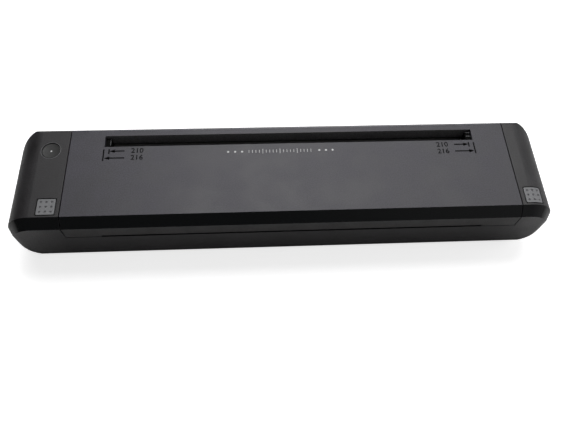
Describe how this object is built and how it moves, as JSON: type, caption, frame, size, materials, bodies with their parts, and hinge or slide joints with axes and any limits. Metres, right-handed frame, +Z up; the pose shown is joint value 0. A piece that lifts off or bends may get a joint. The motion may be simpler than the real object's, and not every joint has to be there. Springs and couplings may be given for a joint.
{
  "type": "portable thermal printer",
  "caption": "Slim portable thermal printer for full-page paper: hinged top cover carrying the platen, rear paper slot with width guides, cover release pads and power key.",
  "frame": {"origin": "on the table under the middle of the casing", "axes": "+X along the printer to its right end, +Y to its back, +Z up"},
  "size_m": [0.308, 0.0632, 0.04],
  "materials": {
    "casing": "fine matt grain, with a glossy band along the front edge",
    "tray": "matt",
    "pad": "satin",
    "key": "satin",
    "lamp": "milky",
    "rubber": "matt",
    "steel": "satin",
    "plated": "zinc plated",
    "spring": "drawn wire",
    "gear": "natural acetal",
    "inner_plastic": "matt",
    "heat_sink": "as rolled",
    "ceramic": "glazed",
    "board": "green solder mask",
    "parts": "moulded",
    "cell": "shrink sleeve",
    "lead": "insulated wire",
    "ribbon": "flat cable"
  },
  "bodies": {
    "base": {"base_tray": "tray", "battery_board": "board", "battery_cells": "cell", "battery_holder": "inner_plastic", "battery_leads": "lead", "board_components": "parts", "board_screws": "plated", "chassis": "plated", "cover_sensor": "parts", "head_ribbon": "ribbon", "head_rod": "steel", "head_springs": "spring", "hinge_pins": "steel", "idler_shaft": "steel", "inner_screws": "plated", "key_switch": "parts", "latch_spring_left": "spring", "latch_spring_right": "spring", "lower_paper_guide": "inner_plastic", "main_board": "board", "motor_lead": "lead", "motor_screws": "plated", "paper_sensor": "parts", "rubber_feet": "rubber", "shaft_clips": "spring", "shield_can": "plated", "stepper_motor": "plated", "switch_board": "board", "tray_screws": "plated", "upper_housing": "casing", "usb_socket": "steel"},
    "cover": {"top_cover": "casing", "upper_paper_guide": "inner_plastic", "upper_guide_screws": "plated", "platen_bushes": "gear"},
    "platen": {"platen_shaft": "steel", "platen_roller": "rubber", "platen_gear": "gear"},
    "head": {"head_plate": "heat_sink", "thermal_element": "ceramic", "head_driver_board": "board"},
    "idler": {"idler_gear": "gear"},
    "motor_rotor": {"motor_shaft": "steel", "motor_pinion": "gear"},
    "guide_left": {"width_guide_left": "inner_plastic"},
    "guide_right": {"width_guide_right": "inner_plastic"},
    "pad_left": {"release_pad_left": "pad"},
    "pad_right": {"release_pad_right": "pad"},
    "latch_body_left": {"latch_left": "gear"},
    "latch_body_right": {"latch_right": "gear"},
    "key": {"power_key": "key", "key_lamp": "lamp", "switch_plunger": "parts"}
  },
  "joints": [
    {"name": "cover_open", "type": "hinge", "parent": "base", "child": "cover", "pos_m": [0, 0.02765, 0.036], "axis": [-1, 0, 0], "range_deg": [0, 70]},
    {"name": "platen_spin", "type": "hinge", "parent": "cover", "child": "platen", "pos_m": [0.005, -0.019, 0.0306], "axis": [1, 0, 0], "continuous": true},
    {"name": "idler_spin", "type": "hinge", "parent": "base", "child": "idler", "pos_m": [-0.1, -0.01635, 0.0207], "axis": [1, 0, 0], "continuous": true},
    {"name": "motor_spin", "type": "hinge", "parent": "base", "child": "motor_rotor", "pos_m": [-0.12, -0.00354, 0.01844], "axis": [1, 0, 0], "continuous": true},
    {"name": "head_tilt", "type": "hinge", "parent": "base", "child": "head", "pos_m": [0.005, -0.004, 0.019], "axis": [1, 0, 0], "range_deg": [0, 2], "stiffness_Nm_per_rad": 1.2, "springref_deg": -5.73, "deforming": ["head_springs", "head_ribbon"]},
    {"name": "release_left", "type": "slide", "parent": "base", "child": "pad_left", "axis": [0, 0, -1], "range_m": [0, 0.002], "stiffness_N_per_m": 400},
    {"name": "release_right", "type": "slide", "parent": "base", "child": "pad_right", "axis": [0, 0, -1], "range_m": [0, 0.002], "stiffness_N_per_m": 400},
    {"name": "latch_slide_left", "type": "slide", "parent": "base", "child": "latch_body_left", "axis": [-1, 0, 0], "range_m": [0, 0.002], "stiffness_N_per_m": 400, "deforming": ["latch_spring_left"]},
    {"name": "latch_slide_right", "type": "slide", "parent": "base", "child": "latch_body_right", "axis": [1, 0, 0], "range_m": [0, 0.002], "stiffness_N_per_m": 400, "deforming": ["latch_spring_right"]},
    {"name": "key_press", "type": "slide", "parent": "base", "child": "key", "axis": [0, 0, -1], "range_m": [0, 0.0008], "stiffness_N_per_m": 1500},
    {"name": "width_left", "type": "slide", "parent": "cover", "child": "guide_left", "axis": [-1, 0, 0], "range_m": [0, 0.003]},
    {"name": "width_right", "type": "slide", "parent": "cover", "child": "guide_right", "axis": [1, 0, 0], "range_m": [0, 0.003]}
  ],
  "couplings": [
    {"joint": "idler_spin", "follows": "platen_spin", "ratio": -1.5625},
    {"joint": "motor_spin", "follows": "platen_spin", "ratio": 5.2083},
    {"joint": "latch_slide_left", "follows": "release_left", "ratio": 1},
    {"joint": "latch_slide_right", "follows": "release_right", "ratio": 1}
  ]
}
